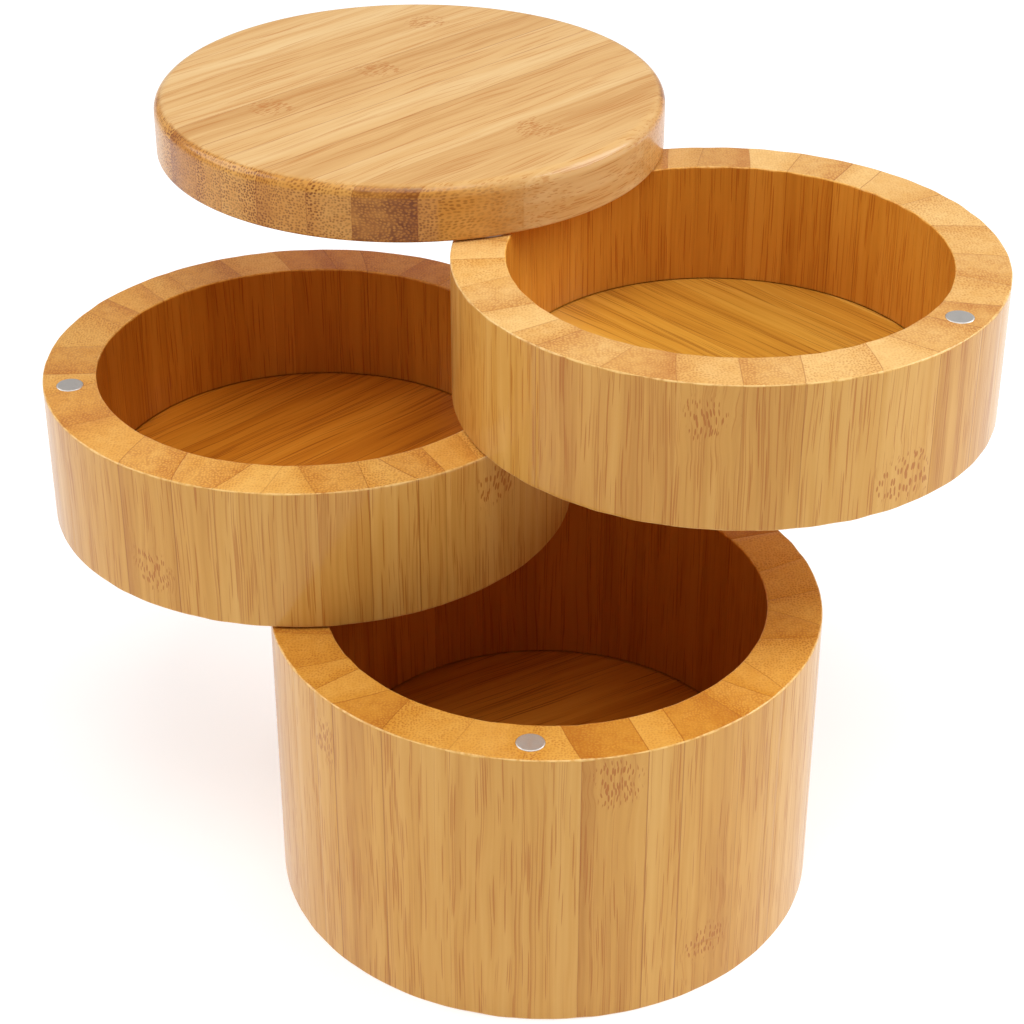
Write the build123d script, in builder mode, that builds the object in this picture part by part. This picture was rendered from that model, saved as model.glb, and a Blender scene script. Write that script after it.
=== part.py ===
# Round bamboo box of three stacked tiers and a disc lid. Each tier swings sideways on a hidden
# vertical pin in the wall below it, and disc magnets hold the closed stack in line.
# Millimetres and degrees. Origin: centre of the base's underside. +Z up, -Y the front.
# The tiers are modelled swung open. A swing of 0 for all three would close the stack.
import os
from math import cos, radians, sin

from build123d import *

os.makedirs("parts", exist_ok=True)

# Tiers: one outside diameter, so that the closed stack is flush
outer_radius = 63.5
wall_thickness = 12.7
base_height = 72.0
tray_height = 35.0
lid_thickness = 13.5
base_floor_thickness = 22.0
tray_floor_thickness = 5.0
floor_rebate = 2.2
tier_gap = 0.5
arris_radius = 0.4
lid_edge_radius = 3.0

# Joints between tiers: where the pin and the magnets stand on the ring of the closed stack
middle_pivot_angle = 90.0
middle_magnet_angle = 266.0
upper_pivot_angle = 102.0
upper_magnet_angle = 275.0
lid_pivot_angle = 126.0
lid_magnet_angle = 287.0

# How far each tier is swung from closed, about the pin in the tier below it
middle_swing = -82.0
upper_swing = 121.0
lid_swing = 125.0

# Swivel hardware: a headed steel pin, a brass bush that turns on it and a thin washer
pin_radius = 2.5
pin_seat_depth = 15.0
pin_head_radius = 3.6
pin_head_thickness = 1.2
pin_chamfer = 0.3
bush_radius = 4.0
bush_length = 8.0
bush_bore_depth = 10.0
washer_radius = 5.5
washer_thickness = 0.45
running_clearance = 0.05
end_play = 0.15

# Disc magnets, a quarter of an inch across, standing just proud of each rim
magnet_radius = 3.175
magnet_thickness = 3.175
magnet_proud = 0.15
magnet_edge_radius = 0.3

bore_radius = outer_radius - wall_thickness
ring_radius = outer_radius - wall_thickness / 2
floor_radius = bore_radius + floor_rebate


def on_ring(plane, angle):
    """Point halfway through the wall's thickness, at an angle of the tier's own frame."""
    turn = radians(angle)
    return plane.from_local_coords(Vector(ring_radius * cos(turn), ring_radius * sin(turn), 0))


def tier_above(plane, height, pivot_angle, swing):
    """Underside plane of the next tier, turned by swing about the pin in this tier's rim."""
    turned = Plane(origin=plane.origin, x_dir=plane.rotated((0, 0, swing)).x_dir, z_dir=(0, 0, 1))
    shift = on_ring(plane, pivot_angle) - on_ring(turned, pivot_angle)
    rise = Vector(0, 0, height + tier_gap)
    return Plane(origin=plane.origin + shift + rise, x_dir=turned.x_dir, z_dir=(0, 0, 1))


def cut_ring_hole(plane, angle, radius, depth):
    """Round blind hole in the part being built: up from plane, or down if depth is negative."""
    with BuildSketch(Plane(origin=on_ring(plane, angle))) as outline:
        Circle(radius)
    extrude(outline.sketch, amount=depth, mode=Mode.SUBTRACT)


def cut_rim_holes(rim, pivot_angle, magnet_angle):
    """Pin seat and magnet pocket in the rim of a tier."""
    cut_ring_hole(rim, pivot_angle, pin_radius, -pin_seat_depth)
    cut_ring_hole(rim, magnet_angle, magnet_radius, magnet_proud - magnet_thickness)


def cut_underside_holes(plane, pivot_angle, magnet_angle):
    """Bush bore and magnet pocket in the underside of a tray or of the lid."""
    cut_ring_hole(plane, pivot_angle, bush_radius, bush_bore_depth)
    cut_ring_hole(plane, magnet_angle, magnet_radius, magnet_thickness)


def save(builder, label):
    """Label a finished piece and write it to its own STEP file."""
    builder.part.label = label
    export_step(builder.part, f"parts/{label}.step")


def make_wall(label, plane, height, floor_thickness, rim_joint, underside_joint=None):
    """Ring wall with eased edges, a rebate below for its floor, and its joints' holes."""
    with BuildPart() as wall:
        with BuildSketch(plane):
            Circle(outer_radius)
            Circle(bore_radius, mode=Mode.SUBTRACT)
        extrude(amount=height)
        fillet(wall.edges().filter_by(GeomType.CIRCLE), radius=arris_radius)
        with BuildSketch(plane):
            Circle(floor_radius)
        extrude(amount=floor_thickness, mode=Mode.SUBTRACT)
        cut_rim_holes(plane.offset(height), *rim_joint)
        if underside_joint:
            cut_underside_holes(plane, *underside_joint)
    save(wall, label)


def make_floor(label, plane, thickness):
    """Round panel glued into the rebate under a wall, flush with its underside."""
    with BuildPart() as floor:
        with BuildSketch(plane):
            Circle(floor_radius)
        extrude(amount=thickness)
    save(floor, label)


def make_magnet(label, plane, angle, low, rounded_side):
    """Disc magnet on the ring, its lower face at low. rounded_side is -1 for top, 0 for bottom."""
    with BuildPart() as magnet:
        with BuildSketch(Plane(origin=on_ring(plane.offset(low), angle))):
            Circle(magnet_radius)
        extrude(amount=magnet_thickness)
        fillet(magnet.faces().sort_by(Axis.Z)[rounded_side].edges(), radius=magnet_edge_radius)
    save(magnet, label)


def make_swivel(name, rim, angle):
    """Pin pressed into the rim, washer round it and bush of the tier above."""
    foot = Plane(origin=on_ring(rim, angle))
    head_level = tier_gap + bush_length + end_play

    with BuildPart() as pin:
        with BuildSketch(foot.offset(-pin_seat_depth)):
            Circle(pin_radius)
        extrude(amount=pin_seat_depth + head_level)
        with BuildSketch(foot.offset(head_level)):
            Circle(pin_head_radius)
        extrude(amount=pin_head_thickness)
        chamfer(pin.faces().sort_by(Axis.Z)[-1].edges(), length=pin_chamfer)
    save(pin, f"{name}_pivot_pin")

    with BuildPart() as washer:
        with BuildSketch(foot):
            Circle(washer_radius)
            Circle(pin_radius + running_clearance, mode=Mode.SUBTRACT)
        extrude(amount=washer_thickness)
    save(washer, f"{name}_pivot_washer")

    with BuildPart() as bush:
        with BuildSketch(foot.offset(tier_gap)):
            Circle(bush_radius)
            Circle(pin_radius + running_clearance, mode=Mode.SUBTRACT)
        extrude(amount=bush_length)
    save(bush, f"{name}_pivot_bush")


base_plane = Plane.XY
middle_plane = tier_above(base_plane, base_height, middle_pivot_angle, middle_swing)
upper_plane = tier_above(middle_plane, tray_height, upper_pivot_angle, upper_swing)
lid_plane = tier_above(upper_plane, tray_height, lid_pivot_angle, lid_swing)
base_rim = base_plane.offset(base_height)
middle_rim = middle_plane.offset(tray_height)
upper_rim = upper_plane.offset(tray_height)
middle_joint = (middle_pivot_angle, middle_magnet_angle)
upper_joint = (upper_pivot_angle, upper_magnet_angle)
lid_joint = (lid_pivot_angle, lid_magnet_angle)

# The tall base and the two trays: walls with the pin of the tier above in their rims
make_wall("base_wall", base_plane, base_height, base_floor_thickness, middle_joint)
make_wall("middle_wall", middle_plane, tray_height, tray_floor_thickness, upper_joint, middle_joint)
make_wall("upper_wall", upper_plane, tray_height, tray_floor_thickness, lid_joint, upper_joint)
make_floor("base_floor", base_plane, base_floor_thickness)
make_floor("middle_floor", middle_plane, tray_floor_thickness)
make_floor("upper_floor", upper_plane, tray_floor_thickness)

# Lid: a solid disc with a well rounded upper edge
with BuildPart() as lid_panel:
    with BuildSketch(lid_plane):
        Circle(outer_radius)
    extrude(amount=lid_thickness)
    fillet(lid_panel.faces().sort_by(Axis.Z)[-1].edges(), radius=lid_edge_radius)
    fillet(lid_panel.faces().sort_by(Axis.Z)[0].edges(), radius=arris_radius)
    cut_underside_holes(lid_plane, *lid_joint)
save(lid_panel, "lid_panel")

# Closing pairs: a magnet proud of each rim, and its catch flush in the underside above it
rim_magnet_low = magnet_proud - magnet_thickness
make_magnet("base_rim_magnet", base_rim, middle_magnet_angle, rim_magnet_low, -1)
make_magnet("middle_catch_magnet", middle_plane, middle_magnet_angle, 0, 0)
make_magnet("middle_rim_magnet", middle_rim, upper_magnet_angle, rim_magnet_low, -1)
make_magnet("upper_catch_magnet", upper_plane, upper_magnet_angle, 0, 0)
make_magnet("upper_rim_magnet", upper_rim, lid_magnet_angle, rim_magnet_low, -1)
make_magnet("lid_catch_magnet", lid_plane, lid_magnet_angle, 0, 0)

make_swivel("middle", base_rim, middle_pivot_angle)
make_swivel("upper", middle_rim, upper_pivot_angle)
make_swivel("lid", upper_rim, lid_pivot_angle)
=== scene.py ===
"""Round bamboo swivel box: laminated walls, panels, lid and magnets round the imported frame."""

import math
import random
from collections import namedtuple

import bpy
import numpy as np
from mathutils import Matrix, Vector


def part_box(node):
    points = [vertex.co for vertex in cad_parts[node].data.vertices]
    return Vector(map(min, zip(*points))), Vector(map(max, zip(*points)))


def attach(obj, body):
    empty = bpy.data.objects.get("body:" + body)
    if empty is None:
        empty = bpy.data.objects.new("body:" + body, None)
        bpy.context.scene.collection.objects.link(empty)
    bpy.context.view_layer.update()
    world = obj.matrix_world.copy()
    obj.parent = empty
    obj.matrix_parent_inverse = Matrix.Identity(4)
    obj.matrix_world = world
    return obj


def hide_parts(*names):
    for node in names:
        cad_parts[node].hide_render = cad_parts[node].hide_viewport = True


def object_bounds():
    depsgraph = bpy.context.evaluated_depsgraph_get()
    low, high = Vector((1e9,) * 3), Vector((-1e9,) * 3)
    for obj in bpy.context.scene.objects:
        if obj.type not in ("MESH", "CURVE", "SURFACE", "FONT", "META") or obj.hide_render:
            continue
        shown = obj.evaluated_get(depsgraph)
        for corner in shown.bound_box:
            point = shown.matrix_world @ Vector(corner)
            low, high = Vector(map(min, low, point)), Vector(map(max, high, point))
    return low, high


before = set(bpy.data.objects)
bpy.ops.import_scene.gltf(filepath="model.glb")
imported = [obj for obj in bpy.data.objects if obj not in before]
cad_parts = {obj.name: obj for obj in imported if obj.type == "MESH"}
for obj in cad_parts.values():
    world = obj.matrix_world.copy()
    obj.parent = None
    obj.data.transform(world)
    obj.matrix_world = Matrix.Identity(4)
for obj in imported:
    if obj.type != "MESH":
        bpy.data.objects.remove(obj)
cad_low, cad_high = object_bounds()

MM = 0.001

# Camera, in metres and degrees: square on to the front, looking down on the open tiers
CAMERA_ELEVATION = 31.0
CAMERA_DISTANCE = 0.5453
CAMERA_AIM = Vector((-0.00786, 0.0, 0.09438))
CAMERA_LENS = 84.8

# Light, as radiance: a white world, a floor that glows as an overlit one does, and square softboxes
# given as (direction from the object, side in metres, radiance, colour)
WORLD_LIGHT = 0.38
FLOOR_GLOW = 0.50
FLOOR_REACH = 12.0
FLOOR_GREYS = [(0.58, 0.58, 0.58, 1.0), (0.61, 0.61, 0.61, 1.0)]
SOFTBOX_DISTANCE = 1.5
SOFTBOXES = {
    "left_softbox": ((-0.80, 0.12, 0.62), 0.9, 3.5, (1.0, 1.0, 1.0)),
    "right_softbox": ((0.80, 0.12, 0.62), 0.9, 5.8, (0.92, 0.97, 1.0)),
    "top_softbox": ((0.0, -0.35, 1.0), 1.0, 3.2, (1.0, 1.0, 1.0)),
}

# Turned and laminated shapes
STAVES_PER_WALL = 30
STAVE_UNEVENNESS = 0.42
ARRIS = 0.40 * MM
ARRIS_STEPS = 4
FLAT_BESIDE_ARRIS = 0.9 * MM
WALL_ROW_PITCH = 4.0 * MM
WALL_COLUMN_PITCH = math.radians(1.6)
JOINT_GROOVE = 0.02 * MM
JOINT_HALF_WIDTH = 0.16 * MM
JOINT_LEAN_DEGREES = 2.6
SANDING_WAVE = 0.03 * MM
BUMP_DEPTH = 0.06 * MM
FLOOR_SEAM = 0.25 * MM
POCKET_CLEARANCE = 0.02 * MM
PIN_HEAD_ROOM = 0.2 * MM
LID_EDGE = 3.0 * MM
MAGNET_EDGE = 0.3 * MM

# Knots left by the culm's nodes: (angle round the tier in degrees, height in mm) on the walls, and
# (x, y) in mm from the centre of the lid
BASE_KNOTS = [(-79, 65), (-136, 61), (-55, 14), (20, 40), (62, 12), (118, 52), (178, 26)]
MIDDLE_KNOTS = [(-119, 10), (-40, 26), (35, 9), (150, 20)]
UPPER_KNOTS = [(-93, 27), (-53, 7), (28, 18), (88, 6), (160, 24)]
LID_KNOTS = [(31, -27), (2, 47), (-33, -14), (-8, 12)]


def srgb(red, green, blue):
    """Linear RGBA of a colour given in 0-255 display values."""
    def linear(value):
        value /= 255
        return value / 12.92 if value <= 0.04045 else ((value + 0.055) / 1.055) ** 2.4
    return (linear(red), linear(green), linear(blue), 1.0)


# ---------------------------------------------------------------- shaders

class Shader:
    """One material's node tree, with short calls for the nodes used here."""

    def __init__(self, name):
        self.material = bpy.data.materials.new(name)
        self.material.use_nodes = True
        self.tree = self.material.node_tree
        self.surface = self.tree.nodes["Principled BSDF"]

    def node(self, kind, **settings):
        made = self.tree.nodes.new("ShaderNode" + kind)
        for key, value in settings.items():
            setattr(made, key, value)
        return made

    def feed(self, socket, value):
        """Link a node's output to a socket, or set the socket to a plain value."""
        if isinstance(value, bpy.types.NodeSocket):
            self.tree.links.new(value, socket)
        else:
            socket.default_value = value

    def math(self, operation, *values):
        made = self.node("Math", operation=operation)
        for socket, value in zip(made.inputs, values):
            self.feed(socket, value)
        return made.outputs[0]

    def add(self, *values):
        total = values[0]
        for value in values[1:]:
            total = self.math("ADD", total, value)
        return total

    def times(self, *values):
        product = values[0]
        for value in values[1:]:
            product = self.math("MULTIPLY", product, value)
        return product

    def centred(self, value, size):
        """A 0-1 value turned into one that swings size / 2 either side of zero."""
        return self.times(self.math("SUBTRACT", value, 0.5), size)

    def dot(self, vector, direction):
        made = self.node("VectorMath", operation="DOT_PRODUCT")
        self.feed(made.inputs[0], vector)
        self.feed(made.inputs[1], direction)
        return made.outputs["Value"]

    def length(self, vector):
        made = self.node("VectorMath", operation="LENGTH")
        self.feed(made.inputs[0], vector)
        return made.outputs["Value"]

    def reroll(self, value, factor):
        """Another random value from 0 to 1, worked out from a strip's own."""
        return self.math("FRACT", self.times(value, factor))

    def combine(self, x, y, z):
        made = self.node("CombineXYZ")
        for socket, value in zip(made.inputs, (x, y, z)):
            self.feed(socket, value)
        return made.outputs[0]

    def separate(self, vector):
        made = self.node("SeparateXYZ")
        self.feed(made.inputs[0], vector)
        return made.outputs[0], made.outputs[1], made.outputs[2]

    def step(self, value, low, high, to_low=0.0, to_high=1.0):
        """Smooth step from to_low at low to to_high at high."""
        made = self.node("MapRange", interpolation_type="SMOOTHSTEP")
        for socket, given in zip(made.inputs, (value, low, high, to_low, to_high)):
            self.feed(socket, given)
        return made.outputs[0]

    def noise(self, vector, scale=1.0, detail=2.0):
        made = self.node("TexNoise")
        self.feed(made.inputs["Vector"], vector)
        made.inputs["Scale"].default_value = scale
        made.inputs["Detail"].default_value = detail
        return made.outputs["Fac"]

    def cells(self, vector, randomness, dimensions):
        """Distance from the nearest cell's centre, and that cell's own random value."""
        made = self.node("TexVoronoi", feature="F1", voronoi_dimensions=dimensions)
        self.feed(made.inputs["Vector"], vector)
        made.inputs["Scale"].default_value = 1.0
        made.inputs["Randomness"].default_value = randomness
        return made.outputs["Distance"], self.separate(made.outputs["Color"])[0]

    def mix(self, factor, one, other, blend="MIX"):
        made = self.node("Mix", data_type="RGBA", blend_type=blend)
        colours = [socket for socket in made.inputs if socket.type == "RGBA"]
        self.feed(made.inputs["Factor"], factor)
        self.feed(colours[0], one)
        self.feed(colours[1], other)
        return next(socket for socket in made.outputs if socket.type == "RGBA")

    def blend(self, factor, one, other):
        """Number between one, at factor 0, and other, at factor 1."""
        made = self.node("Mix", data_type="FLOAT")
        numbers = [socket for socket in made.inputs if socket.type == "VALUE"]
        for socket, value in zip(numbers, (factor, one, other)):
            self.feed(socket, value)
        return made.outputs[0]

    def ramp(self, factor, colours):
        """Colours spread evenly over factor from 0 to 1."""
        made = self.node("ValToRGB")
        elements = made.color_ramp.elements
        while len(elements) < len(colours):
            elements.new(0.5)
        for i, (element, colour) in enumerate(zip(elements, colours)):
            element.position = i / (len(colours) - 1)
            element.color = colour
        self.feed(made.inputs[0], factor)
        return made.outputs[0]

    def position_mm(self):
        """Object-space position in mm, and the object-space normal."""
        coordinates = self.node("TexCoord")
        scaled = self.node("VectorMath", operation="SCALE")
        self.feed(scaled.inputs[0], coordinates.outputs["Object"])
        scaled.inputs["Scale"].default_value = 1 / MM
        return scaled.outputs[0], coordinates.outputs["Normal"]

    def bump(self, height, distance, strength):
        """Relief for the surface: distance is how far a height of 1 stands out, in metres."""
        made = self.node("Bump")
        made.inputs["Strength"].default_value = strength
        made.inputs["Distance"].default_value = distance
        self.feed(made.inputs["Height"], height)
        self.feed(self.surface.inputs["Normal"], made.outputs[0])

    def finish(self, **inputs):
        """Feed the surface's inputs, named with _ for a space, and give the material."""
        for name, value in inputs.items():
            self.feed(self.surface.inputs[name.replace("_", " ")], value)
        return self.material


# How a bamboo surface looks. side and cut are colours from dark to light, along the grain and cut
# across it, fibre and cut_fibre the fibres in them, joint the glue and edge the pale colour of a sharp
# edge, partly rubbed wear and partly a painted highlight along the arris.
# contrast and cut_contrast say how much strips differ there, dark how much darker still the cut ends
# of a few strips are, netted which share of strips has pale dots in a dark net at its cut ends, and
# dots and lines how strongly end dots and fibres show. dash is the length in mm of the shorter
# fibres, waver how far the grain wavers in mm, and gloss the weight of the lacquer.
Finish = namedtuple("Finish", [
    "side", "cut", "fibre", "cut_fibre", "joint", "edge", "contrast", "cut_contrast", "dark", "netted",
    "dots", "lines", "dash", "waver", "gloss"])

WALL_FINISH = Finish(
    side=[srgb(185, 123, 46), srgb(210, 153, 70), srgb(224, 172, 92)],
    cut=[srgb(188, 114, 38), srgb(220, 156, 66), srgb(236, 182, 96)],
    fibre=srgb(172, 94, 20),
    cut_fibre=srgb(176, 102, 32),
    joint=srgb(150, 80, 20),
    # edge: rubbed wear and a painted highlight along the arris
    edge=srgb(246, 204, 130),
    contrast=0.30,
    cut_contrast=0.45,
    dark=0.15,
    netted=0.35,
    dots=0.6,
    lines=0.6,
    dash=24.0,
    waver=1.2,
    gloss=0.65,
)

# The upper tray's rim is paler than the middle one's as painted light, and the base's darker and more
# golden as painted shade under the middle tray
PAINTED_LIGHT_RIM_FINISH = WALL_FINISH._replace(
    cut=[srgb(192, 124, 54), srgb(222, 166, 88), srgb(240, 194, 122)],
    dots=0.5,
)
PAINTED_SHADE_RIM_FINISH = WALL_FINISH._replace(
    cut=[srgb(178, 108, 30), srgb(208, 143, 52), srgb(224, 166, 78)],
)

# Panels: the lid is pale with a dark strip at its front, and the floors are fine-grained and golden
LID_FINISH = WALL_FINISH._replace(
    side=[srgb(192, 136, 70), srgb(216, 168, 104), srgb(230, 192, 134)],
    cut=[srgb(160, 90, 18), srgb(208, 144, 62), srgb(224, 170, 92)],
    fibre=srgb(182, 108, 32),
    cut_fibre=srgb(122, 62, 4),
    contrast=0.45,
    cut_contrast=0.3,
    dark=0.3,
    netted=0.1,
    dots=0.8,
    lines=0.5,
    dash=28.0,
    waver=2.6,
    gloss=0.6,
)
FLOOR_FINISH = WALL_FINISH._replace(
    side=[srgb(184, 118, 30), srgb(214, 152, 52), srgb(232, 176, 74)],
    fibre=srgb(140, 74, 12),
    contrast=0.4,
    dash=50.0,
    gloss=0.4,
)

# Where a point lies in a strip of bamboo. Lengths are in mm: across, depth and along follow the
# grain. tone is the strip's random value, lean its place from -1 to 1 between joints, joint the
# distance to the nearest joint, cut 1 where the fibres are cut off, edge 1 on a sharp edge, and the
# last three give the place round a knot and 1 where there is one.
Place = namedtuple("Place", "across depth along tone lean joint cut edge knot_across knot_along knot")

# Sizes of one patch, band, fibre or dot of the pattern, as (mm across the grain, mm along it)
SWAY_SIZE = (25.0, 60.0)
WAVER_SIZE = (7.0, 22.0)
CROWD_SIZE = (2.6, 40.0)
BROAD_BAND = (4.5, 320.0)
FINE_BAND = (0.8, 120.0)
LONG_FIBRE = (0.48, 100.0)
END_DOT = (0.68, 60.0)
END_MOTTLE = (3.2, 90.0)
RUBBED_AND_HIGHLIT_PATCH = (1.6, 1.6)
KNOT_BEND = (5.0, 7.0)
KNOT_REACH = (5.5, 6.0)
KNOT_STROKE = (0.62, 3.0)

# In mm: the width of the shorter fibres, how far the grain sways, and how far it bends beside a knot
DASH_WIDTH = 0.56
SWAY = 2.5
BEND = 2.0

# Where the cut ends and the pale edges, rubbed and with a painted highlight, begin, by how far the
# surface's normal tilts
WALL_CUT = (0.35, 0.8)
WALL_EDGE = ((0.1, 0.45), (0.995, 0.9))
PANEL_CUT = (0.22, 0.55)

# How far a strip's random value shifts its fibres, in mm, and its knot's strokes, in strokes
STRIP_SHIFT = 61.0
KNOT_SHIFT = 37.0

# Factors that turn a strip's random value into further ones
BARK_FACTOR = 7.3
RIDGE_FACTOR = 9.7
DOTS_FACTOR = 5.3
JOINT_FACTOR = 17.9


def stretched(s, at, size):
    """Coordinates in which one unit is size, as (mm across the grain, mm along it)."""
    width, length = size
    return s.combine(s.math("DIVIDE", at.across, width), s.math("DIVIDE", at.depth, width),
                     s.math("DIVIDE", at.along, length))


def streaks(s, at, size, detail=0.0):
    """Noise drawn out along the grain."""
    return s.noise(stretched(s, at, size), detail=detail)


def knot_pattern(s, at):
    """How near a knot is, its short tangled fibres, its crescent ridge and how the grain bends."""
    key = s.times(at.tone, KNOT_SHIFT)
    bend_place = s.combine(s.math("DIVIDE", at.knot_across, KNOT_BEND[0]),
                           s.math("DIVIDE", at.knot_along, KNOT_BEND[1]), key)
    bend = s.centred(s.noise(bend_place, detail=1.0), 1.0)

    # the grain is disturbed up to about 15 mm away, and the tangle fills an uneven oval
    off_along = s.add(s.math("ABSOLUTE", at.knot_along), s.times(bend, 9.0))
    near = s.times(s.step(off_along, 15.0, 5.0), at.knot)
    away = s.length(s.combine(s.math("DIVIDE", at.knot_across, KNOT_REACH[0]),
                              s.math("DIVIDE", at.knot_along, KNOT_REACH[1]), 0.0))
    reach = s.times(s.step(s.add(away, s.times(bend, 1.6)), 1.2, 0.2), at.knot)

    # short strokes, thicker towards the knot's middle
    stroke_across = s.math("DIVIDE", s.add(at.knot_across, s.times(bend, BEND)), KNOT_STROKE[0])
    stroke_along = s.math("DIVIDE", at.knot_along, KNOT_STROKE[1])
    stroke_place = s.combine(s.add(stroke_across, key), s.add(stroke_along, key), 0.0)
    spread, _ = s.cells(stroke_place, 1.0, "2D")
    thick = s.add(spread, s.times(reach, -0.18))
    tangle = s.times(s.step(thick, 0.20, 0.11), s.step(reach, 0.0, 0.3))

    # a faint crescent across the grain, on some of the knots
    arch = s.add(at.knot_along, s.times(at.knot_across, at.knot_across, 0.12), s.times(bend, 2.5))
    ridge = s.times(s.step(s.math("ABSOLUTE", arch), 0.55, 0.2), at.knot,
                    s.step(s.math("ABSOLUTE", s.add(at.knot_across, s.times(bend, 8.0))), 3.4, 2.2),
                    s.step(s.reroll(at.tone, RIDGE_FACTOR), 0.65, 0.75))
    return near, tangle, ridge, bend


def follow_grain(s, at, finish, near, bend):
    """The Place moved across so that straight fibres there sway, waver and bend round knots."""
    at = at._replace(across=s.add(at.across, s.times(at.tone, STRIP_SHIFT), s.times(near, bend, BEND)))
    sway = streaks(s, at, SWAY_SIZE, 1.0)
    waver = streaks(s, at, WAVER_SIZE)
    return at._replace(across=s.add(at.across, s.times(sway, SWAY), s.times(waver, finish.waver)))


def bundles(s, at, size, radius, crowd):
    """Tapered fibres, one to a cell of size and as thick as radius in cells, or more in a crowd."""
    spread, strength = s.cells(stretched(s, at, size), 1.0, "3D")
    fibre = s.step(s.add(spread, s.times(crowd, -0.06)), radius, radius - 0.09)
    return s.times(fibre, s.step(strength, 0.0, 0.6, 0.4, 1.0))


def side_grain(s, at, finish, crowd, near, tangle, ridge):
    """Colour along the grain, how much fibre shows and the broad bands that it lies in."""
    long_fibres = bundles(s, at, LONG_FIBRE, 0.31, crowd)
    dashes = bundles(s, at, (DASH_WIDTH, finish.dash), 0.32, crowd)
    drawn = s.math("MAXIMUM", s.times(long_fibres, 0.75), dashes)
    drawn = s.times(drawn, s.blend(near, 1.0, 0.6))

    broad = streaks(s, at, BROAD_BAND, 2.0)
    fine = streaks(s, at, FINE_BAND, 1.0)
    level = s.add(0.52, s.centred(at.tone, finish.contrast), s.centred(broad, 0.85),
                  s.centred(fine, 0.4), s.times(crowd, -0.08))
    marks = s.math("MAXIMUM", s.times(drawn, finish.lines), s.times(tangle, 0.75))
    marks = s.math("MAXIMUM", marks, s.times(ridge, 0.25))
    return s.mix(marks, s.ramp(level, finish.side), finish.fibre), drawn, broad


def end_grain(s, at, finish, bark, patch):
    """Colour of cut ends and their dots: dark on pale wood, or pale in a dark net."""
    spread, strength = s.cells(stretched(s, at, END_DOT), 0.72, "2D")
    dot = s.times(s.step(spread, 0.50, 0.16), s.step(strength, 0.0, 0.4, 0.6, 1.0))
    netted = s.math("LESS_THAN", at.tone, finish.netted)
    speckle = s.math("ABSOLUTE", s.math("SUBTRACT", s.times(netted, 0.9), dot))

    level = s.add(0.62, s.centred(at.tone, finish.cut_contrast),
                  s.step(at.tone, 0.16, 0.06, 0.0, -finish.dark), s.times(netted, 0.15),
                  s.times(bark, -0.2), s.centred(streaks(s, at, END_MOTTLE, 3.0), 0.5))
    visible = s.step(s.reroll(at.tone, DOTS_FACTOR), 0.1, 0.6, 0.6, 1.0)
    weight = s.times(s.add(0.75, s.times(bark, 0.5), s.step(patch, 0.35, 0.65, -0.25, 0.25)),
                     s.math("MAXIMUM", visible, netted), finish.dots)
    return s.mix(s.times(speckle, weight), s.ramp(level, finish.cut), finish.cut_fibre), dot


def bamboo(s, at, finish):
    """Colour, roughness and height of bamboo at a Place."""
    near, tangle, ridge, bend = knot_pattern(s, at)
    at = follow_grain(s, at, finish, near, bend)

    # fibres crowd towards the bark side of each strip, and in random patches
    bark_side = s.centred(s.math("GREATER_THAN", s.reroll(at.tone, BARK_FACTOR), 0.5), 2.0)
    bark = s.step(s.times(at.lean, bark_side), -0.1, 1.0)
    patch = streaks(s, at, CROWD_SIZE, 2.0)
    crowd = s.add(s.times(bark, 0.5), s.step(patch, 0.38, 0.62, -1.0, 0.9))

    side, drawn, broad = side_grain(s, at, finish, crowd, near, tangle, ridge)
    cut, dot = end_grain(s, at, finish, bark, patch)
    colour = s.mix(at.cut, side, cut)

    # joints: a hairline of glue, stronger across the cut ends
    shown = s.step(s.reroll(at.tone, JOINT_FACTOR), 0.2, 0.9, 0.0, 0.7)
    seam = s.times(s.step(at.joint, 0.20, 0.05),
                   s.blend(at.cut, shown, s.add(0.25, s.times(shown, 0.6))))
    colour = s.mix(seam, colour, finish.joint)

    # wear and painted highlight: a sharp edge is rubbed pale and painted with a highlight along its
    # arris, more in some places than in others
    rubbed_and_highlit = s.times(at.edge, s.step(streaks(s, at, RUBBED_AND_HIGHLIT_PATCH, 2.0), 0.3, 0.65, 0.15, 0.8))
    colour = s.mix(rubbed_and_highlit, colour, finish.edge)

    relief = s.blend(at.cut, s.add(s.times(drawn, -0.5), s.times(tangle, -0.9), s.times(ridge, -1.8)),
                     s.times(dot, -0.8))
    height = s.add(relief, s.times(seam, -0.6))
    rough = s.add(s.step(broad, 0.2, 0.8, 0.46, 0.38), s.times(drawn, 0.10), s.times(dot, at.cut, 0.12))
    return colour, rough, height


def lacquer(s, gloss):
    """The thin satin coat over all the bamboo, weighted by gloss."""
    s.surface.inputs["Coat Weight"].default_value = gloss
    s.surface.inputs["Coat Roughness"].default_value = 0.15
    s.surface.inputs["Coat IOR"].default_value = 1.38
    s.surface.inputs["Specular IOR Level"].default_value = 0.15


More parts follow.
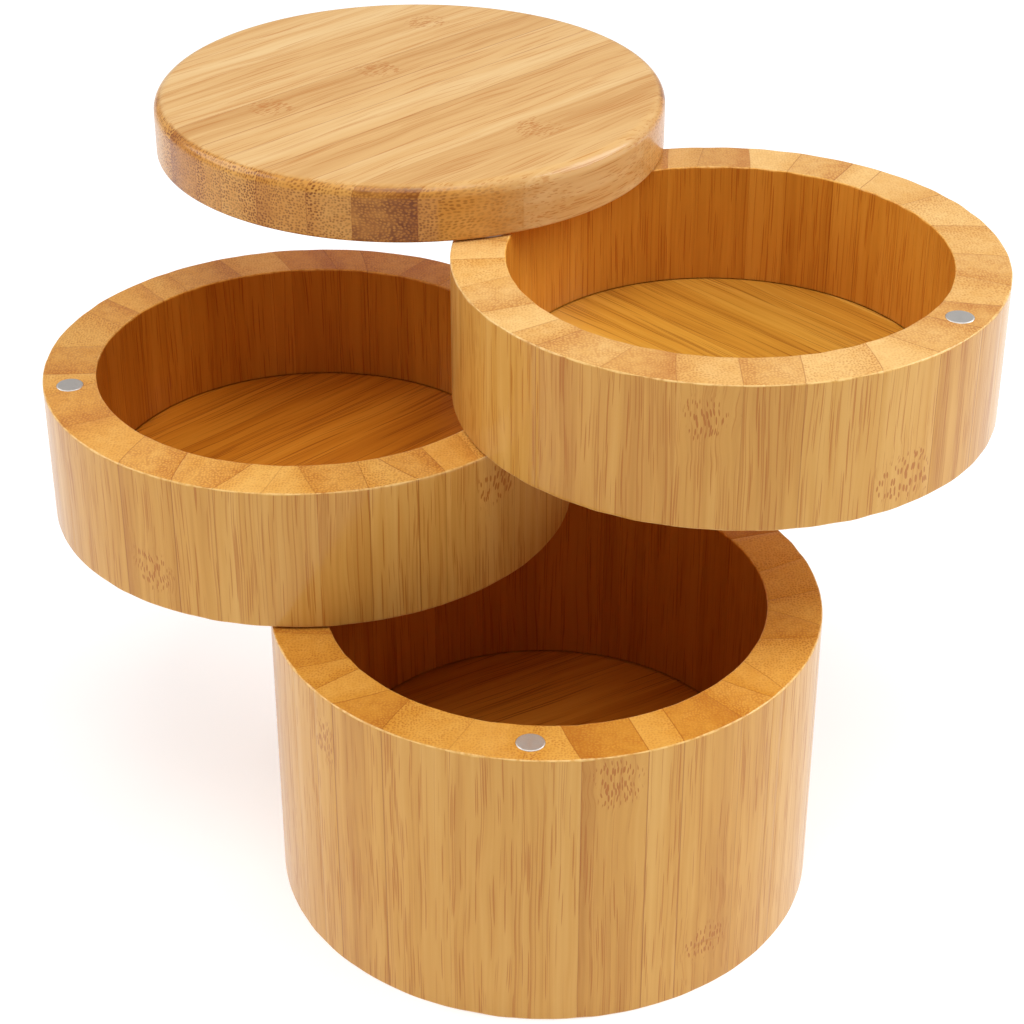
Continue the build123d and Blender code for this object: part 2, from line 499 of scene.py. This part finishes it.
def wall_material(name, finish, bore, inside_tint):
    """Upright staves round a ring, darker and richer inside with painted shade, and their knots only
    outside.
    """
    s = Shader(name)
    position, normal = s.position_mm()
    x, y, z = s.separate(position)
    stave = s.node("Attribute", attribute_name="stave").outputs["Vector"]
    lean, joint, tone = s.separate(stave)
    knot_place = s.node("Attribute", attribute_name="knot").outputs["Vector"]
    knot_across, knot_along, knot = s.separate(knot_place)
    tilt = s.math("ABSOLUTE", s.separate(normal)[2])
    cut = s.step(tilt, *WALL_CUT)
    edge = s.times(s.step(tilt, *WALL_EDGE[0]), s.step(tilt, *WALL_EDGE[1]))
    inside = s.step(s.length(s.combine(x, y, 0.0)), bore / MM + 0.35, bore / MM + 0.1)
    knot = s.times(knot, s.math("SUBTRACT", 1.0, inside))
    at = Place(x, y, z, tone, lean, joint, cut, edge, knot_across, knot_along, knot)
    colour, rough, height = bamboo(s, at, finish)
    # painted shade: the inner surfaces are multiplied by the tier's shade colour
    colour = s.mix(inside, colour, s.mix(1.0, colour, inside_tint, "MULTIPLY"))
    s.bump(height, BUMP_DEPTH, 0.5)
    lacquer(s, finish.gloss)
    return s.finish(Base_Color=colour, Roughness=rough)


# Strips of a panel: the angle of their grain from +X, their width, how far from the centre a joint
# runs, the random value of the first strip, and a tint over them all, painted shade on the lower tier
# floors. Angles in degrees, lengths mm.
Strips = namedtuple("Strips", "grain_angle width first_joint first_tone tint")

# The step from one strip's random value to the next, a count that keeps the strips' numbers positive,
# and how far a knot's disturbance reaches along its strip, in mm
GOLDEN_RATIO = 0.618034
KEEP_POSITIVE = 40.0
KNOT_HALF_LENGTH = 16.0


def panel_material(name, finish, strips, knots=()):
    """Parallel strips across a round panel, their random values stepping by the golden ratio."""
    s = Shader(name)
    position, normal = s.position_mm()
    turn = math.radians(strips.grain_angle)
    grain = (math.cos(turn), math.sin(turn), 0.0)
    side = (-math.sin(turn), math.cos(turn), 0.0)
    along = s.dot(position, grain)
    across = s.dot(position, side)
    depth = s.separate(position)[2]

    # number counts the strips from the first joint, their widths a little uneven
    uneven = s.times(s.math("SINE", s.times(across, 0.19)), 0.10)
    number = s.math("DIVIDE", s.math("SUBTRACT", across, strips.first_joint), strips.width)
    number = s.add(number, uneven)
    place = s.math("FRACT", s.add(number, KEEP_POSITIVE))
    tone = s.math("FRACT", s.add(s.times(s.math("FLOOR", number), GOLDEN_RATIO),
                                 strips.first_tone + KEEP_POSITIVE))
    lean = s.centred(place, 2.0)
    joint = s.times(s.math("MINIMUM", place, s.math("SUBTRACT", 1.0, place)), strips.width)

    knot_across = knot_along = knot = 0.0
    half_strip = strips.width / 2
    for knot_x, knot_y in knots:
        off_along = s.math("SUBTRACT", along, knot_x * grain[0] + knot_y * grain[1])
        off_across = s.math("SUBTRACT", across, knot_x * side[0] + knot_y * side[1])
        here = s.times(s.math("LESS_THAN", s.math("ABSOLUTE", off_across), half_strip),
                       s.math("LESS_THAN", s.math("ABSOLUTE", off_along), KNOT_HALF_LENGTH))
        knot_across = s.add(s.times(here, off_across), knot_across)
        knot_along = s.add(s.times(here, off_along), knot_along)
        knot = s.add(here, knot)

    cut = s.step(s.math("ABSOLUTE", s.dot(normal, grain)), *PANEL_CUT)
    at = Place(across, depth, along, tone, lean, joint, cut, 0.0, knot_across, knot_along, knot)
    colour, rough, height = bamboo(s, at, finish)
    # painted shade: the tint darkens a floor sunk in a lower tier
    if strips.tint:
        colour = s.mix(1.0, colour, strips.tint, "MULTIPLY")
    s.bump(height, BUMP_DEPTH, 0.45)
    lacquer(s, finish.gloss)
    return s.finish(Base_Color=colour, Roughness=rough)


# How fine the noise is that breaks up the metals and the nylon, in cells per metre
METAL_GRAIN = 5200.0
METAL_PATCHES = 420.0
NYLON_CLOUD = 1500.0


def metal_material(name, tint, roughness):
    """Plated or turned metal with a fine grain and dull patches."""
    s = Shader(name)
    coordinates = s.node("TexCoord")
    grain = s.noise(coordinates.outputs["Object"], scale=METAL_GRAIN, detail=2.0)
    patches = s.noise(coordinates.outputs["Object"], scale=METAL_PATCHES, detail=3.0)
    dull = tuple(0.78 * c for c in tint[:3]) + (1.0,)
    colour = s.mix(s.step(s.blend(0.35, patches, grain), 0.35, 0.7, 0.0, 0.6), tint, dull)
    rough = s.step(s.blend(0.5, patches, grain), 0.3, 0.7, roughness, roughness + 0.14)
    s.bump(grain, 0.006 * MM, 0.5)
    s.surface.inputs["Metallic"].default_value = 1.0
    return s.finish(Base_Color=colour, Roughness=rough)


def nylon_material(name):
    """Pale nylon, slightly cloudy and uneven."""
    s = Shader(name)
    coordinates = s.node("TexCoord")
    cloud = s.noise(coordinates.outputs["Object"], scale=NYLON_CLOUD, detail=3.0)
    colour = s.mix(cloud, srgb(222, 220, 208), srgb(236, 234, 226))
    s.bump(cloud, 0.01 * MM, 0.4)
    return s.finish(Base_Color=colour, Roughness=s.step(cloud, 0.2, 0.8, 0.42, 0.58))


# ---------------------------------------------------------------- meshes

def new_object(name, vertices, faces, location=(0, 0, 0)):
    mesh = bpy.data.meshes.new(name)
    mesh.from_pydata(vertices, [], faces)
    made = bpy.data.objects.new(name, mesh)
    made.location = location
    bpy.context.scene.collection.objects.link(made)
    return made


def quarter(radius, level, outward, upward, start):
    """Rounded corner of a section. outward and upward are +1 or -1, away from the wood. A row holds
    radius, level, how far each moves per arris, and the outward normal."""
    rows = []
    for step in range(ARRIS_STEPS + 1):
        turn = math.radians(start + 90 * step / ARRIS_STEPS)
        normal_radius, normal_level = abs(math.cos(turn)) * outward, abs(math.sin(turn)) * upward
        rows.append((radius, level, normal_radius - outward, normal_level - upward,
                     normal_radius, normal_level))
    return rows


def straight(start, end, count, normal):
    """Rows of a section strictly between two of its points."""
    fractions = [step / (count + 1) for step in range(1, count + 1)]
    return [(start[0] + (end[0] - start[0]) * t, start[1] + (end[1] - start[1]) * t, 0.0, 0.0, *normal)
            for t in fractions]


def wall_section(outer, bore, rebate, height, floor):
    """Rows of a wall's closed section, from the rebate below out, up, over and back down."""
    flat = FLAT_BESIDE_ARRIS
    outer_rows = round(height / WALL_ROW_PITCH)
    inner_rows = round((height - floor) / WALL_ROW_PITCH)
    rows = [(rebate, 0.0, 0.0, 0.0, 0.0, 0.0)]
    rows += straight((rebate, 0.0), (outer - flat, 0.0), 2, (0.0, 0.0))
    rows += [(outer - flat, 0.0, 0.0, 0.0, 0.0, 0.0)]
    rows += quarter(outer, 0.0, 1, -1, 270)
    rows += [(outer, flat, 0.0, 0.0, 1.0, 0.0)]
    rows += straight((outer, flat), (outer, height - flat), outer_rows, (1.0, 0.0))
    rows += [(outer, height - flat, 0.0, 0.0, 1.0, 0.0)]
    rows += quarter(outer, height, 1, 1, 0)
    rows += [(outer - flat, height, 0.0, 0.0, 0.0, 1.0)]
    rows += straight((outer - flat, height), (bore + flat, height), 3, (0.0, 1.0))
    rows += [(bore + flat, height, 0.0, 0.0, 0.0, 1.0)]
    rows += quarter(bore, height, -1, 1, 90)
    rows += [(bore, height - flat, 0.0, 0.0, -1.0, 0.0)]
    rows += straight((bore, height - flat), (bore, floor), inner_rows, (-1.0, 0.0))
    rows += [(bore, floor, 0.0, 0.0, 0.0, 0.0), (rebate, floor, 0.0, 0.0, 0.0, 0.0)]
    return np.array(rows)


# Staves of one ring: angle where each starts, how far its joint leans, its tone and its width in mm,
# and the columns of the mesh as stave number, place across the stave and 1 on a joint
Staves = namedtuple("Staves", "starts skews tones widths columns")


def lay_staves(rng, ring_radius):
    """Staves of uneven width round a ring, with mesh columns closer together at their joints."""
    count = STAVES_PER_WALL
    shares = np.array([1 + rng.uniform(-STAVE_UNEVENNESS, STAVE_UNEVENNESS) for _ in range(count)])
    starts = np.concatenate([[0.0], np.cumsum(shares)]) / shares.sum() * 2 * math.pi
    skews = [math.radians(rng.uniform(-JOINT_LEAN_DEGREES, JOINT_LEAN_DEGREES)) for _ in range(count)]
    tones = [rng.random() for _ in range(count)]
    columns = []
    for k in range(count):
        turn = starts[k + 1] - starts[k]
        edge = JOINT_HALF_WIDTH / (ring_radius * turn)
        inner = max(3, round(turn / WALL_COLUMN_PITCH))
        columns += [(k, 0.0, 1.0), (k, edge, 0.0)]
        columns += [(k, i / inner, 0.0) for i in range(1, inner)]
        columns += [(k, 1 - edge, 0.0)]
    return Staves(starts, np.array(skews + skews[:1]), tones, np.diff(starts) * ring_radius / MM, columns)


def corner_values(staves, levels, knots):
    """Per face corner, by column, row and corner: (lean, joint, tone) of the stave, and the place
    round its knot as (across, along, 1 if it has one), lengths in mm."""
    knot_level = {}
    for angle, level in knots:
        stave = int(np.searchsorted(staves.starts, math.radians(angle) % (2 * math.pi))) - 1
        knot_level[stave] = level
    low = np.array([place for _, place, _ in staves.columns])
    starts_stave = np.array([on_joint == 1.0 for _, _, on_joint in staves.columns])
    high = np.where(np.roll(starts_stave, -1), 1.0, np.roll(low, -1))
    number = np.array([k for k, _, _ in staves.columns])
    width = staves.widths[number]
    level = np.array([knot_level.get(k, 0.0) for k in number])
    has_knot = np.array([float(k in knot_level) for k in number])
    tone = np.array(staves.tones)[number]
    shape = (len(low), len(levels), 4, 3)
    stave, knot = np.zeros(shape, np.float32), np.zeros(shape, np.float32)
    for corner, place in enumerate((low, high, high, low)):
        heights = levels if corner < 2 else np.roll(levels, -1)
        stave[:, :, corner, 0] = (2 * place - 1)[:, None]
        stave[:, :, corner, 1] = (np.minimum(place, 1 - place) * width)[:, None]
        stave[:, :, corner, 2] = tone[:, None]
        knot[:, :, corner, 0] = ((place - 0.5) * width)[:, None]
        knot[:, :, corner, 1] = heights[None, :] / MM - level[:, None]
        knot[:, :, corner, 2] = has_knot[:, None]
    return {"stave": stave, "knot": knot}


def make_wall(name, origin, section, wall, seed, knots):
    """Ring of glued staves as one closed skin, with hairline grooves at the joints."""
    rng = random.Random(seed)
    ring_radius = section[:, 0].max() - wall / 2
    staves = lay_staves(rng, ring_radius)
    number = np.array([k for k, _, _ in staves.columns])
    place = np.array([across for _, across, _ in staves.columns])
    groove = np.array([on_joint for _, _, on_joint in staves.columns]) * JOINT_GROOVE
    lean = (section[:, 0][:, None] - ring_radius) / (wall / 2)
    low = staves.starts[number][None, :] + staves.skews[number][None, :] * lean
    high = staves.starts[number + 1][None, :] + staves.skews[number + 1][None, :] * lean
    angle = low + place[None, :] * (high - low)

    # slow waves from sanding, as (count round the ring, phase, turn per metre of height), and quicker
    # ones along the arris, where it is rubbed unevenly
    level = section[:, 1][:, None]
    waves = [(rng.randint(2, 9), rng.uniform(0, 6.3), rng.uniform(20, 90)) for _ in range(5)]
    wave = sum(np.sin(n * angle + phase + level * rise) for n, phase, rise in waves) / len(waves)
    arris_waves = [(rng.randint(7, 60), rng.uniform(0, 6.3)) for _ in range(9)]
    arris = ARRIS * (1 + 0.28 * sum(np.sin(n * angle + phase) for n, phase in arris_waves) / 3)
    push = wave * SANDING_WAVE - groove[None, :]
    radius = section[:, 0][:, None] + arris * section[:, 2][:, None] + push * section[:, 4][:, None]
    height = level + arris * section[:, 3][:, None] + push * section[:, 5][:, None]
    height = np.clip(height, 0.0, section[:, 1].max())
    radius = np.minimum(radius, section[:, 0].max())
    points = np.stack([radius * np.cos(angle), radius * np.sin(angle), height], axis=2).reshape(-1, 3)

    rows, cols = angle.shape
    faces = [(r * cols + c, r * cols + (c + 1) % cols, (r + 1) % rows * cols + (c + 1) % cols,
              (r + 1) % rows * cols + c) for c in range(cols) for r in range(rows)]
    made = new_object(name, points.tolist(), faces, origin)
    for attribute_name, values in corner_values(staves, section[:, 1], knots).items():
        attribute = made.data.attributes.new(attribute_name, "FLOAT_VECTOR", "CORNER")
        attribute.data.foreach_set("vector", values.ravel())
    return made


def make_turned(name, origin, profile, segments=160):
    """Closed solid of revolution from (radius, level) points, first and last on the axis."""
    rings = profile[1:-1]
    turns = [2 * math.pi * i / segments for i in range(segments)]
    vertices = [(0, 0, profile[0][1]), (0, 0, profile[-1][1])]
    vertices += [(r * math.cos(t), r * math.sin(t), z) for r, z in rings for t in turns]
    faces = []
    last = 2 + (len(rings) - 1) * segments
    for i in range(segments):
        j = (i + 1) % segments
        faces.append((0, 2 + j, 2 + i))
        faces.append((1, last + i, last + j))
        for ring in range(len(rings) - 1):
            a, b = 2 + ring * segments, 2 + (ring + 1) * segments
            faces.append((a + i, a + j, b + j, b + i))
    return new_object(name, vertices, faces, origin)


def arc(radius, level, size, start, end, steps):
    """Points of a rounded edge about a centre, angles in degrees."""
    turns = [math.radians(start + (end - start) * i / steps) for i in range(steps + 1)]
    return [(radius + size * math.cos(t), level + size * math.sin(t)) for t in turns]


def cut_pockets(piece, pockets):
    """Cut a round pocket for each (centre x, centre y, radius, low, high), in metres."""
    for x, y, radius, low, high in pockets:
        profile = [(0, low), (radius, low), (radius, high), (0, high)]
        cutter = make_turned("pocket_cutter", (x, y, 0), profile, segments=64)
        modifier = piece.modifiers.new("pocket", "BOOLEAN")
        modifier.operation = "DIFFERENCE"
        modifier.solver = "EXACT"
        modifier.object = cutter
        bpy.context.view_layer.update()
        evaluated = piece.evaluated_get(bpy.context.evaluated_depsgraph_get())
        old = piece.data
        piece.data = bpy.data.meshes.new_from_object(evaluated)
        piece.modifiers.clear()
        bpy.data.meshes.remove(old)
        bpy.data.objects.remove(cutter)


def pocket_round(node, above=0.0, below=0.0):
    """Pocket that fits a round CAD node, made longer by above and below."""
    low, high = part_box(node)
    centre = (low + high) / 2
    radius = (high.x - low.x) / 2 + POCKET_CLEARANCE
    return centre.x, centre.y, radius, low.z - below, high.z + above


def swivel_pocket(name):
    """Bore for a bush and the pin's head above it, in the tier that turns."""
    x, y, radius, low, _ = pocket_round(name + "_pivot_bush", below=MM)
    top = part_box(name + "_pivot_pin")[1].z + PIN_HEAD_ROOM
    return x, y, radius, low, top


def dress(piece, material, body, replaced, smooth_angle=40):
    """Give a finished piece its shading, material and body, and hide the CAD node it stands for."""
    piece.data.materials.clear()
    piece.data.materials.append(material)
    piece.data.polygons.foreach_set("use_smooth", [True] * len(piece.data.polygons))
    piece.data.set_sharp_from_angle(angle=math.radians(smooth_angle))
    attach(piece, body)
    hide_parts(replaced)


# ---------------------------------------------------------------- camera, lights and floor

def make_camera():
    camera = bpy.data.objects.new("camera", bpy.data.cameras.new("camera"))
    turn = math.radians(CAMERA_ELEVATION)
    camera.location = CAMERA_AIM + CAMERA_DISTANCE * Vector((0, -math.cos(turn), math.sin(turn)))
    camera.rotation_euler = (math.pi / 2 - turn, 0, 0)
    camera.data.lens = CAMERA_LENS
    bpy.context.scene.collection.objects.link(camera)
    bpy.context.scene.camera = camera


def make_softbox(name, direction, size, radiance, colour):
    """Square softbox of a given side, aimed at the middle of the object."""
    aim = (cad_low + cad_high) / 2
    light = bpy.data.lights.new(name, "AREA")
    light.shape = "SQUARE"
    light.size = size
    light.energy = radiance * math.pi * size ** 2
    light.color = colour
    made = bpy.data.objects.new(name, light)
    made.location = aim + SOFTBOX_DISTANCE * Vector(direction).normalized()
    made.rotation_euler = (aim - made.location).to_track_quat("-Z", "Y").to_euler()
    bpy.context.scene.collection.objects.link(made)


def make_floor_and_world():
    """White sweep: a wide pale floor that glows, and a white world."""
    s = Shader("studio_floor")
    coordinates = s.node("TexCoord")
    speckle = s.noise(coordinates.outputs["Object"], scale=40.0, detail=2.0)
    s.surface.inputs["Emission Color"].default_value = (1, 1, 1, 1)
    s.surface.inputs["Emission Strength"].default_value = FLOOR_GLOW
    s.finish(Base_Color=s.mix(speckle, *FLOOR_GREYS), Roughness=0.85)
    corners = [(x * FLOOR_REACH, y * FLOOR_REACH, 0) for x, y in ((-1, -1), (1, -1), (1, 1), (-1, 1))]
    floor = new_object("studio_floor", corners, [(0, 1, 2, 3)])
    floor.data.materials.append(s.material)
    world = bpy.data.worlds.new("studio_world")
    world.use_nodes = True
    background = world.node_tree.nodes["Background"]
    background.inputs["Color"].default_value = (1, 1, 1, 1)
    background.inputs["Strength"].default_value = WORLD_LIGHT
    bpy.context.scene.world = world
    bpy.context.scene.view_settings.view_transform = "Standard"


# ---------------------------------------------------------------- the box

# A tier: its body, the seed of its staves, its knots, the finish of its wall, the painted shade inside it
# and the strips of its floor, with a tint of painted shade on the lower two
Tier = namedtuple("Tier", "body seed knots finish inside_tint floor_strips")

# painted shade: inside the lower tiers walls and floors are tinted darker, most in the base beneath the
# others
TIERS = {
    "base": Tier("base", 5, BASE_KNOTS, PAINTED_SHADE_RIM_FINISH, srgb(238, 194, 132),
                 Strips(31, 12.5, 2.0, 0.3, srgb(246, 214, 182))),
    "middle": Tier("middle_tray", 11, MIDDLE_KNOTS, WALL_FINISH, srgb(246, 216, 146),
                   Strips(45, 13.0, 4.0, 0.7, srgb(245, 215, 170))),
    "upper": Tier("upper_tray", 23, UPPER_KNOTS, PAINTED_LIGHT_RIM_FINISH, srgb(255, 233, 174),
                  Strips(-48, 13.0, -3.0, 0.5, None)),
}
LID_STRIPS = Strips(45, 11.1, -48.0, 0.02, None)


def tier_pockets(prefix, above):
    """Holes in a tier's wall: below for its swivel and catch, above for the next pin and its magnet."""
    rim = [pocket_round(above + "_pivot_pin", above=MM), pocket_round(prefix + "_rim_magnet", above=MM)]
    if prefix == "base":
        return rim
    return [swivel_pocket(prefix), pocket_round(prefix + "_catch_magnet", below=MM)] + rim


def make_tier(prefix, tier, pockets):
    """A tier's wall of staves and its floor panel."""
    low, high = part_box(prefix + "_wall")
    floor_low, floor_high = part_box(prefix + "_floor")
    magnet_low, magnet_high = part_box(prefix + "_rim_magnet")
    centre = (low + high) / 2
    origin = Vector((centre.x, centre.y, low.z))
    outer = (high.x - low.x) / 2
    magnet = (magnet_low + magnet_high) / 2 - centre
    wall = 2 * (outer - math.hypot(magnet.x, magnet.y))
    bore = outer - wall
    rebate = (floor_high.x - floor_low.x) / 2
    floor_level = floor_high.z - low.z

    section = wall_section(outer, bore, rebate, high.z - low.z, floor_level)
    staves = make_wall(prefix + "_staves", origin, section, wall, tier.seed, tier.knots)
    cut_pockets(staves, pockets)
    material = wall_material(prefix + "_wall_bamboo", tier.finish, bore, tier.inside_tint)
    dress(staves, material, tier.body, prefix + "_wall")

    seam = FLOOR_SEAM
    profile = [(0, 0), (rebate - seam, 0), (rebate, seam), (rebate, floor_level - 2 * seam),
               (bore - seam, floor_level - 2 * seam)]
    profile += arc(bore - 2 * seam, floor_level - seam, seam, 0, 90, 3)
    profile += [(bore - 6 * seam, floor_level), (0, floor_level)]
    panel = make_turned(prefix + "_floor_panel", origin, profile)
    material = panel_material(prefix + "_floor_bamboo", FLOOR_FINISH, tier.floor_strips)
    dress(panel, material, tier.body, prefix + "_floor")


def make_lid():
    """Solid disc of parallel strips with a well rounded upper edge."""
    low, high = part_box("lid_panel")
    centre = (low + high) / 2
    radius = (high.x - low.x) / 2
    height = high.z - low.z
    profile = [(0, 0), (radius - 2 * ARRIS, 0)]
    profile += arc(radius - ARRIS, ARRIS, ARRIS, -90, 0, ARRIS_STEPS)
    profile += [(radius, 2 * ARRIS), (radius, height - LID_EDGE - ARRIS)]
    profile += arc(radius - LID_EDGE, height - LID_EDGE, LID_EDGE, 0, 90, 12)
    profile += [(radius - LID_EDGE - ARRIS, height), (0, height)]
    lid = make_turned("lid_disc", (centre.x, centre.y, low.z), profile, segments=256)
    cut_pockets(lid, [swivel_pocket("lid"), pocket_round("lid_catch_magnet", below=MM)])
    material = panel_material("lid_bamboo", LID_FINISH, LID_STRIPS, LID_KNOTS)
    dress(lid, material, "lid", "lid_panel", smooth_angle=50)


def make_magnet(node, body, material):
    """Plated disc, its outer edge rounded: the upper one in a rim, the lower one in an underside."""
    low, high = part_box(node)
    centre = (low + high) / 2
    radius = (high.x - low.x) / 2
    height = high.z - low.z
    edge = MAGNET_EDGE
    if node.endswith("_rim_magnet"):
        profile = [(0, 0), (radius, 0)] + arc(radius - edge, height - edge, edge, 0, 90, 6)
        profile += [(radius - 2 * edge, height), (0, height)]
    else:
        profile = [(0, 0), (radius - 2 * edge, 0)] + arc(radius - edge, edge, edge, -90, 0, 6)
        profile += [(radius, height), (0, height)]
    disc = make_turned(node + "_disc", (centre.x, centre.y, low.z), profile, segments=96)
    dress(disc, material, body, node)


make_camera()
make_floor_and_world()
for name, settings in SOFTBOXES.items():
    make_softbox(name, *settings)

for prefix, above in (("base", "middle"), ("middle", "upper"), ("upper", "lid")):
    make_tier(prefix, TIERS[prefix], tier_pockets(prefix, above))
make_lid()

nickel = metal_material("plated_nickel", (0.74, 0.70, 0.66, 1), 0.45)
for node, body in [("base_rim_magnet", "base"), ("middle_catch_magnet", "middle_tray"),
                   ("middle_rim_magnet", "middle_tray"), ("upper_catch_magnet", "upper_tray"),
                   ("upper_rim_magnet", "upper_tray"), ("lid_catch_magnet", "lid")]:
    make_magnet(node, body, nickel)

swivel_finishes = {
    "_pin": metal_material("turned_steel", (0.56, 0.56, 0.57, 1), 0.28),
    "_bush": metal_material("turned_brass", (0.78, 0.56, 0.24, 1), 0.26),
    "_washer": nylon_material("pale_nylon"),
}
for node_name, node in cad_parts.items():
    for ending, material in swivel_finishes.items():
        if node_name.endswith(ending):
            node.data.materials.clear()
            node.data.materials.append(material)
